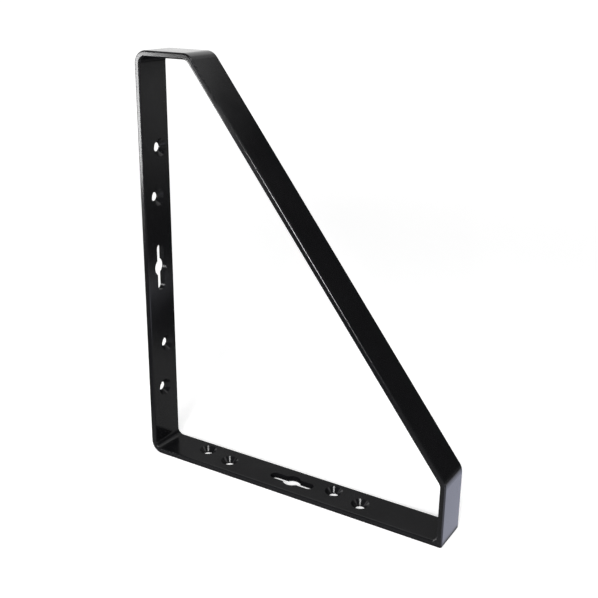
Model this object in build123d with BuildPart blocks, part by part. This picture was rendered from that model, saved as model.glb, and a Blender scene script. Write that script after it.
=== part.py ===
# Triangular shelf bracket, bent from one flat steel bar.
#
# The bar runs up the wall leg, over a short level shoulder, down the slanting
# brace, down a short upright shoulder and back along the shelf leg. Its two ends
# meet at the sharp lower corner, where they are welded, and the weld is ground
# back on the outside to a small round.
#
# Millimetres. +X away from the wall, +Z up, Y across the bar. The origin is the
# middle of the shelf leg's underside: the wall leg's outer face lies at
# x = -reach / 2, and the bracket stands on z = 0.

from build123d import *
import os

# flat bar
bar_width = 20.0
bar_thickness = 3.0
arris_radius = 0.8

# triangle, over its outer faces
height = 212.0
reach = 170.0
top_shoulder = 32.0
front_shoulder = 33.0

# bends, inside radii
leg_bend = 3.5
brace_bend = 4.0

# round on the outside of the ground weld
ground_corner = 1.3

# screw holes: a staggered pair low and high on each leg, sunk from inside, in
# two rows that are measured from the middle line of the bar
hole_diameter = 4.5
sink_diameter = 9.0
sink_angle = 90.0
near_row = -0.3
far_row = 2.9
wall_first_hole = 35.3
wall_pair_step = 24.6
wall_pair_repeat = 104.5
shelf_first_hole = 28.4
shelf_pair_step = 16.5
shelf_pair_repeat = 78.0

# double-ended keyhole in each leg: a round hole for the screw's head, with a
# slot for its shank on both sides
keyhole_head = 9.0
keyhole_slot = 5.2
keyhole_length = 25.0
wall_keyhole = 103.0
shelf_keyhole = 83.5

# weld bead that is left inside the closed corner, at both edges of the bar
bead_leg = 1.6
bead_length = 3.5

wall_face = -reach / 2
front_face = reach / 2
half_width = bar_width / 2
bead_runout = bead_leg / 2

# inner face of each leg, measured from the outer corner between the two legs
wall_inside = Plane(
    origin=(wall_face + bar_thickness, 0, 0), x_dir=(0, 1, 0), z_dir=(1, 0, 0)
)
shelf_inside = Plane(
    origin=(wall_face, 0, bar_thickness), x_dir=(1, 0, 0), z_dir=(0, 0, 1)
)

with BuildPart() as bent_bar:
    # side view of the loop: the outer line starts and ends at the sharp corner
    with BuildSketch(Plane.XZ):
        with BuildLine():
            FilletPolyline(
                (front_face, 0),
                (front_face, front_shoulder),
                (wall_face + top_shoulder, height),
                (wall_face, height),
                (wall_face, 0),
                (front_face, 0),
                radius=[
                    ground_corner,
                    brace_bend + bar_thickness,
                    brace_bend + bar_thickness,
                    leg_bend + bar_thickness,
                    leg_bend + bar_thickness,
                ],
            )
        make_face()
        offset(amount=-bar_thickness, kind=Kind.INTERSECTION, mode=Mode.SUBTRACT)
    extrude(amount=half_width, both=True)

    # weld beads, each running out towards the middle of the bar
    with BuildSketch(
        Plane.XZ.offset(half_width), Plane.XZ.offset(bead_length - half_width)
    ):
        with BuildLine():
            Polyline(
                (front_face - bar_thickness, bar_thickness),
                (front_face - bar_thickness, bar_thickness + bead_leg),
                (front_face - bar_thickness - bead_leg, bar_thickness),
                close=True,
            )
        make_face()
    extrude(amount=-bead_length)
    across = bent_bar.faces().filter_by(Axis.Y).group_by(Axis.Y)
    bead_ends = [
        face.edges().sort_by(SortBy.LENGTH)[-1] for face in (across[1], across[-2])
    ]
    chamfer(bead_ends, bead_runout)

    # rounded arrises along both edges of the bar
    across = bent_bar.faces().filter_by(Axis.Y).group_by(Axis.Y)
    fillet(across[0].edges() + across[-1].edges(), arris_radius)

    # screw holes in the wall leg
    with Locations(wall_inside):
        with Locations(
            (near_row, wall_first_hole),
            (far_row, wall_first_hole + wall_pair_step),
            (near_row, wall_first_hole + wall_pair_repeat),
            (far_row, wall_first_hole + wall_pair_step + wall_pair_repeat),
        ):
            CounterSinkHole(
                hole_diameter / 2, sink_diameter / 2, bar_thickness, sink_angle
            )

    # screw holes in the shelf leg
    with Locations(shelf_inside):
        with Locations(
            (shelf_first_hole, far_row),
            (shelf_first_hole + shelf_pair_step, near_row),
            (shelf_first_hole + shelf_pair_repeat, far_row),
            (shelf_first_hole + shelf_pair_step + shelf_pair_repeat, near_row),
        ):
            CounterSinkHole(
                hole_diameter / 2, sink_diameter / 2, bar_thickness, sink_angle
            )

    # keyholes, straight through
    with BuildSketch(wall_inside):
        with Locations((0, wall_keyhole)):
            Circle(keyhole_head / 2)
            SlotOverall(keyhole_length, keyhole_slot, rotation=90)
    extrude(amount=-bar_thickness, mode=Mode.SUBTRACT)
    with BuildSketch(shelf_inside):
        with Locations((shelf_keyhole, 0)):
            Circle(keyhole_head / 2)
            SlotOverall(keyhole_length, keyhole_slot)
    extrude(amount=-bar_thickness, mode=Mode.SUBTRACT)

bent_bar.part.label = "bent_bar"

os.makedirs("parts", exist_ok=True)
export_step(bent_bar.part, "parts/bent_bar.step")
print("solids", len(bent_bar.solids()), "valid", bent_bar.part.is_valid)
print("volume", round(bent_bar.part.volume, 1), "mm3")
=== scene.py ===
import math

import bpy
from mathutils import Matrix, Vector

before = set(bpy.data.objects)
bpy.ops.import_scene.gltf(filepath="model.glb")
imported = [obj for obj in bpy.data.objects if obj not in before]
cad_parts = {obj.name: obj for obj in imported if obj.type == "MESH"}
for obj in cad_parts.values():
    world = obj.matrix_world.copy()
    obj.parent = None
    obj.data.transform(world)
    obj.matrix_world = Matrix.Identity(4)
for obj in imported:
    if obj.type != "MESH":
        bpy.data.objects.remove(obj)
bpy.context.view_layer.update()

scene = bpy.context.scene

# The bent bar: one length of 20 x 3 mm flat steel, bent into a closed loop and
# welded at the sharp lower corner. It is powder-coated satin black, so its
# surface is a faint orange peel. Its arrises are rounded over.
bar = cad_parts["bent_bar"]

coat_thick = (0.0050, 0.0050, 0.0058)
coat_thin = (0.0070, 0.0070, 0.0078)
coat_roughness = (0.13, 0.19)
coat_ior = 1.5
film_size = 0.020
peel_size = 0.0016
peel_depth = 0.0000025
grit_size = 0.0004
grit_depth = 0.0000003


def noise(tree, place, size, detail):
    texture = tree.nodes.new("ShaderNodeTexNoise")
    texture.inputs["Scale"].default_value = 1 / size
    texture.inputs["Detail"].default_value = detail
    tree.links.new(place, texture.inputs["Vector"])
    return texture.outputs["Fac"]


def ramped(tree, value, start, end, low=0.0, high=1.0, shape="LINEAR"):
    ramp = tree.nodes.new("ShaderNodeMapRange")
    ramp.interpolation_type = shape
    ramp.inputs["From Min"].default_value = start
    ramp.inputs["From Max"].default_value = end
    ramp.inputs["To Min"].default_value = low
    ramp.inputs["To Max"].default_value = high
    tree.links.new(value, ramp.inputs["Value"])
    return ramp.outputs["Result"]


coat = bpy.data.materials.new("satin_black_powder_coat")
coat.use_nodes = True
tree = coat.node_tree
shader = tree.nodes["Principled BSDF"]
shader.inputs["IOR"].default_value = coat_ior
place = tree.nodes.new("ShaderNodeTexCoord").outputs["Object"]

# the film lies a little thicker and thinner over the bar
film = noise(tree, place, film_size, 3.0)
tone = tree.nodes.new("ShaderNodeMix")
tone.data_type = "RGBA"
tone.inputs[6].default_value = (*coat_thick, 1)
tone.inputs[7].default_value = (*coat_thin, 1)
tree.links.new(film, tone.inputs[0])
tree.links.new(tone.outputs[2], shader.inputs["Base Color"])
roughness = ramped(tree, film, 0.3, 0.7, *coat_roughness)
tree.links.new(roughness, shader.inputs["Roughness"])

# orange peel, with the grit of the powder on it
peel = tree.nodes.new("ShaderNodeBump")
peel.inputs["Distance"].default_value = peel_depth
tree.links.new(noise(tree, place, peel_size, 1.0), peel.inputs["Height"])
grit = tree.nodes.new("ShaderNodeBump")
grit.inputs["Distance"].default_value = grit_depth
tree.links.new(noise(tree, place, grit_size, 2.0), grit.inputs["Height"])
tree.links.new(peel.outputs["Normal"], grit.inputs["Normal"])
tree.links.new(grit.outputs["Normal"], shader.inputs["Normal"])

bar.material_slots[0].material = coat

# The floor: a wide sheet of white paper. It keeps a soft shadow, and the rest
# of its white is its own, more of it far off where the lamps don't reach, so
# that it meets the white behind it with no line.
paper_half = 30.0
paper_white = (0.80, 0.80, 0.80, 1)
own_white_near = 0.50
own_white_far = 0.80
lamps_end = (0.3, 1.3)


def rectangle(name, half_width, half_height):
    mesh = bpy.data.meshes.new(name)
    mesh.from_pydata(
        [(-half_width, -half_height, 0), (half_width, -half_height, 0),
         (half_width, half_height, 0), (-half_width, half_height, 0)],
        [], [(0, 1, 2, 3)])
    return mesh


def combined(tree, operation, first, second):
    step = tree.nodes.new("ShaderNodeMath")
    step.operation = operation
    tree.links.new(first, step.inputs[0])
    tree.links.new(second, step.inputs[1])
    return step.outputs[0]


def looked_at(tree):
    # 1 for what the camera sees, straight, mirrored or through clear things
    ray = tree.nodes.new("ShaderNodeLightPath").outputs
    direct = combined(tree, "MAXIMUM", ray["Is Camera Ray"], ray["Is Glossy Ray"])
    return combined(tree, "MAXIMUM", direct, ray["Is Transmission Ray"])


def distance_out(tree, place):
    length = tree.nodes.new("ShaderNodeVectorMath")
    length.operation = "LENGTH"
    tree.links.new(place, length.inputs[0])
    return length.outputs["Value"]


paper_mesh = rectangle("paper", paper_half, paper_half)
paper = bpy.data.objects.new("paper", paper_mesh)
scene.collection.objects.link(paper)
white = bpy.data.materials.new("white_paper")
white.use_nodes = True
tree = white.node_tree
surface = tree.nodes["Principled BSDF"]
surface.inputs["Base Color"].default_value = paper_white
surface.inputs["Roughness"].default_value = 0.9
surface.inputs["Specular IOR Level"].default_value = 0.0
surface.inputs["Emission Color"].default_value = (1, 1, 1, 1)
out = distance_out(tree, tree.nodes.new("ShaderNodeTexCoord").outputs["Object"])
white_here = ramped(
    tree, out, *lamps_end, own_white_near, own_white_far, "SMOOTHSTEP")
own_white = combined(tree, "MULTIPLY", white_here, looked_at(tree))
tree.links.new(own_white, surface.inputs["Emission Strength"])
paper_mesh.materials.append(white)

# The world: white where the camera looks past the paper and where the coat
# mirrors it, and a quiet grey fill for everything else.
fill = 0.35
background_white = 1.0

world = bpy.data.worlds.new("studio")
scene.world = world
world.use_nodes = True
tree = world.node_tree
background = tree.nodes["Background"]
background.inputs["Color"].default_value = (1, 1, 1, 1)
strength = ramped(tree, looked_at(tree), 0.0, 1.0, fill, background_white)
tree.links.new(strength, background.inputs["Strength"])


# The lamps: soft boxes. The key is turned so that its long side runs along the
# brace, the top one looks at the bracket's middle, and the left one lights the
# near edge of the wall leg.
def soft_box(name, place, width, height, radiance, aim=(0, 0, 0.1), lean=0):
    data = bpy.data.lights.new(name, "AREA")
    data.shape = "RECTANGLE"
    data.size = width
    data.size_y = height
    data.energy = radiance * math.pi * width * height
    lamp = bpy.data.objects.new(name, data)
    lamp.location = place
    turn = (Vector(aim) - Vector(place)).to_track_quat("-Z", "Y").to_matrix()
    roll = Matrix.Rotation(math.radians(lean), 3, "Z")
    lamp.rotation_euler = (turn @ roll).to_euler()
    scene.collection.objects.link(lamp)


soft_box("key_box", (0.31, -1.00, 0.48), 0.24, 0.28, 50.0, lean=36)
soft_box("top_box", (0.34, -0.60, 1.14), 0.30, 0.26, 14.0)
soft_box("left_box", (-0.538, -0.438, 0.124), 0.11, 0.22, 31.0,
         aim=(-0.083, 0, 0.124))


# The cards: white, grey and black sheets that stand where the coat mirrors
# them, set out as a photographer sets them for a black object on white paper.
# Only reflections see them: each glows at its own grey, a painted reflection,
# dark or pale, that lights nothing.
def mirrored_only(thing):
    thing.visible_camera = False
    thing.visible_diffuse = False
    thing.visible_transmission = False
    thing.visible_shadow = False
    scene.collection.objects.link(thing)


def unlit(name):
    material = bpy.data.materials.new(name)
    material.use_nodes = True
    surface = material.node_tree.nodes["Principled BSDF"]
    surface.inputs["Base Color"].default_value = (0.0, 0.0, 0.0, 1)
    surface.inputs["Roughness"].default_value = 1.0
    surface.inputs["Specular IOR Level"].default_value = 0.0
    surface.inputs["Emission Color"].default_value = (1, 1, 1, 1)
    return material, surface


def card(name, place, width, height, aim, grey):
    mesh = rectangle(name, width / 2, height / 2)
    sheet = bpy.data.objects.new(name, mesh)
    # the sheet glows at its set grey: a painted reflection, not a lit sheet
    reflection_glow, surface = unlit(name + "_felt")
    surface.inputs["Emission Strength"].default_value = grey
    mesh.materials.append(reflection_glow)
    sheet.location = place
    facing = (Vector(aim) - Vector(place)).to_track_quat("-Z", "Y")
    sheet.rotation_euler = facing.to_euler()
    mirrored_only(sheet)


card("black_card", (1.05, 1.9, 0.75), 2.70, 1.50, (1.05, 0, 0.75), 0.02)
card("dim_card", (0.45, 1.9, 2.25), 1.50, 1.50, (0.45, 0, 2.25), 0.62)
card("black_corner", (1.85, 1.9, 2.25), 1.30, 1.50, (1.85, 0, 2.25), 0.03)
card("black_right", (2.45, 0.0, 1.25), 3.70, 1.90, (0, 0, 1.25), 0.03)
card("white_card", (-1.23, 1.58, 0.40), 1.30, 0.50, (0, 0, 0.22), 1.22)
card("black_front", (0.0, -1.9, 1.0), 5.0, 2.0, (0, 0, 1.0), 0.04)
card("black_roof", (0.0, -0.75, 1.9), 5.0, 2.3, (0, -0.75, 0), 0.04)
card("grey_card", (-0.155, 0.2, 0.135), 0.39, 0.15, (-0.155, 0, 0.135), 0.17)

# The table round the bracket as the coat mirrors it, a painted reflection that
# glows only in reflections, with painted light and shade: pale close to the foot,
# dark further out, pale again where the paper turns up. Past the front shoulder
# lies a painted pool of light, a little blue, and the strip that the shelf leg
# stands on is dark with painted shadow.
table_lift = 0.0004
table_reach = 2.0
# greys of the painted reflection, its light and shade from the foot outwards
painted_reflection_greys = [
    (0.0, 0.25), (0.045, 0.25), (0.07, 0.02),
    (0.22, 0.02), (0.45, 0.25), (0.8, 0.40)]
shoulder_end = (0.0845, 0.0865)
# the painted pool of light past the front shoulder: how it fades, its grey and
# its blue tint
painted_light_fade = (0.32, 0.12)
painted_light_grey = 1.2
painted_light_tint = (0.93, 0.96, 1.17, 1)
# edge of the painted shadow on the strip under the shelf leg
painted_shadow_edge = (0.0100, 0.0115)

table_mesh = bpy.data.meshes.new("painted_table_reflection")
table_mesh.from_pydata(
    [(-3, -3, 0), (3, -3, 0), (3, 3, 0),
     (-0.1, 3, 0), (-0.1, 0.35, 0), (-3, 0.35, 0)],
    [], [(0, 1, 2, 3, 4, 5)])
painted_table_reflection = bpy.data.objects.new("painted_table_reflection", table_mesh)
painted_table_reflection.location = (0, 0, table_lift)
painted_reflection, surface = unlit("painted_reflection_greys")
tree = painted_reflection.node_tree
place = tree.nodes.new("ShaderNodeTexCoord").outputs["Object"]
out = distance_out(tree, place)

# painted light and shade of the mirrored table, in rings out from the foot
rings = tree.nodes.new("ShaderNodeValToRGB")
tree.links.new(ramped(tree, out, 0.0, table_reach), rings.inputs["Fac"])
ring_steps = rings.color_ramp.elements
ring_steps[0].position, first_grey = painted_reflection_greys[0]
ring_steps[0].color = (first_grey, first_grey, first_grey, 1)
ring_steps[1].position, last_grey = painted_reflection_greys[-1]
ring_steps[1].color = (last_grey, last_grey, last_grey, 1)
for position, grey in painted_reflection_greys[1:-1]:
    ring_steps.new(position).color = (grey, grey, grey, 1)

axes = tree.nodes.new("ShaderNodeSeparateXYZ")
tree.links.new(place, axes.inputs[0])
# painted pool of light past the front shoulder, a little blue
past_shoulder = ramped(tree, axes.outputs["X"], *shoulder_end)
close_by = ramped(tree, out, *painted_light_fade, shape="SMOOTHSTEP")
painted_light_patch = combined(tree, "MULTIPLY", past_shoulder, close_by)
tint_here = tree.nodes.new("ShaderNodeMix")
tint_here.data_type = "RGBA"
tint_here.inputs[6].default_value = (1, 1, 1, 1)
tint_here.inputs[7].default_value = painted_light_tint
tree.links.new(painted_light_patch, tint_here.inputs[0])
tree.links.new(tint_here.outputs[2], surface.inputs["Emission Color"])
grey_here = tree.nodes.new("ShaderNodeMix")
grey_here.data_type = "FLOAT"
grey_here.inputs[3].default_value = painted_light_grey
tree.links.new(painted_light_patch, grey_here.inputs[0])
tree.links.new(rings.outputs["Color"], grey_here.inputs[2])

# painted shadow on the strip that the shelf leg stands on
off_line = tree.nodes.new("ShaderNodeMath")
off_line.operation = "ABSOLUTE"
tree.links.new(axes.outputs["Y"], off_line.inputs[0])
beside_painted_shadow = ramped(tree, off_line.outputs[0], *painted_shadow_edge)
out_of_painted_shadow = combined(tree, "MAXIMUM", beside_painted_shadow, past_shoulder)
lit_here = combined(tree, "MULTIPLY", grey_here.outputs[0], out_of_painted_shadow)
tree.links.new(lit_here, surface.inputs["Emission Strength"])
table_mesh.materials.append(painted_reflection)
mirrored_only(painted_table_reflection)

# The camera: right of the bracket's front, a little above its top, looking
# down past the middle of the triangle.
camera_place = Vector((0.21329, -0.35047, 0.24876))
camera_aim = Vector((0.00870, -0.01217, 0.10699))
camera_roll = 0.013
sensor_width = 36.0
focal_length = 55.52

lens_data = bpy.data.cameras.new("camera")
lens_data.sensor_width = sensor_width
lens_data.lens = focal_length
lens_data.clip_start = 0.01
lens_data.clip_end = 100.0
camera = bpy.data.objects.new("camera", lens_data)
turn = (camera_aim - camera_place).to_track_quat("-Z", "Y").to_matrix().to_4x4()
roll = Matrix.Rotation(camera_roll, 4, "Z")
camera.matrix_world = Matrix.Translation(camera_place) @ turn @ roll
scene.collection.objects.link(camera)
scene.camera = camera

scene.view_settings.view_transform = "Standard"
